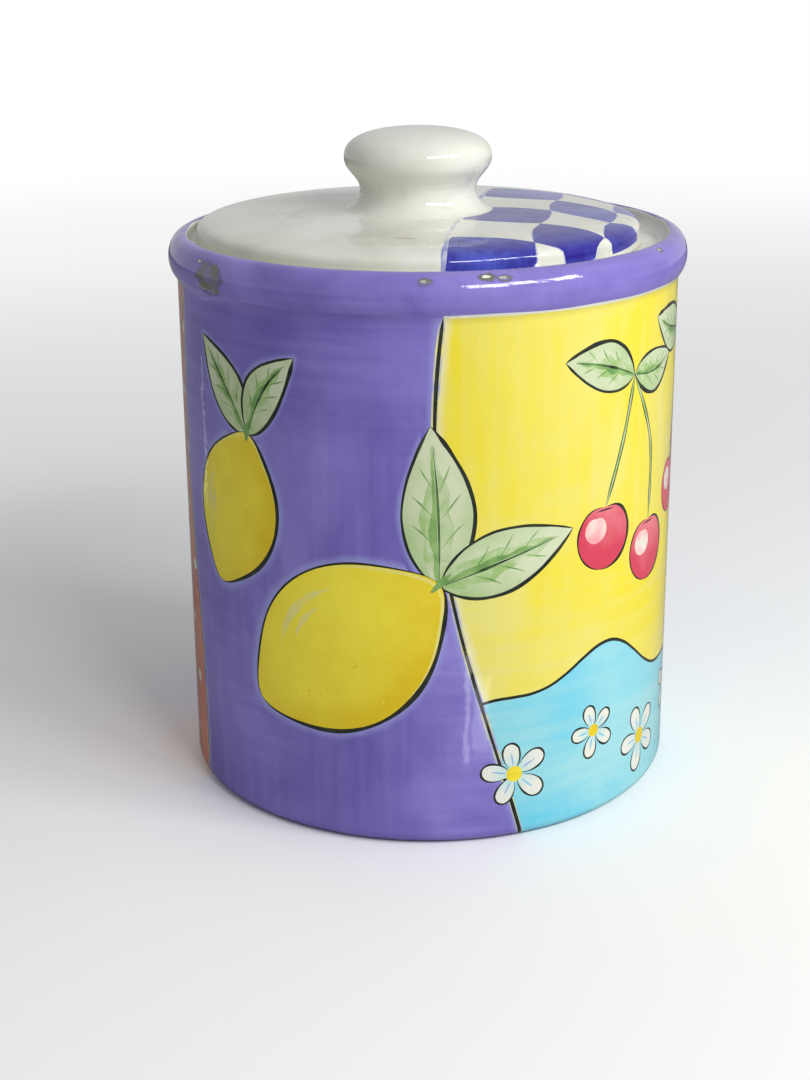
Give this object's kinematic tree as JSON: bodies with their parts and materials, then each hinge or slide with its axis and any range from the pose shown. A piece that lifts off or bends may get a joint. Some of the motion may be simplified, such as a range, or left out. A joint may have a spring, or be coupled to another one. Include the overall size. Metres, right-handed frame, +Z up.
{
  "type": "biscuit jar",
  "caption": "Round lidded biscuit jar with a straight painted body, a rolled rim with an inner gallery, and a loose domed lid with a hollow mushroom knob that lifts out.",
  "frame": {"origin": "centre of the underside of the foot ring, on the surface that the jar stands on", "axes": "+Z up along the jar's axis; -Y is the side that faces the viewer; +X is to the viewer's right"},
  "size_m": [0.1858, 0.1858, 0.236],
  "materials": {
    "jar_glaze": "painted fields of violet, yellow, turquoise and terracotta under a glossy clear glaze",
    "lid_glaze": "warm white and cobalt check under a glossy clear glaze",
    "knob_glaze": "warm white under a glossy clear glaze"
  },
  "bodies": {
    "jar": {"jar_foot": "jar_glaze", "jar_wall": "jar_glaze", "jar_rim": "jar_glaze"},
    "lid_and_knob": {"lid": "lid_glaze", "knob": "knob_glaze"}
  },
  "joints": [
    {"name": "lid_lift", "type": "slide", "parent": "jar", "child": "lid_and_knob", "axis": [0, 0, 1], "range_m": [0, 0.15]}
  ]
}
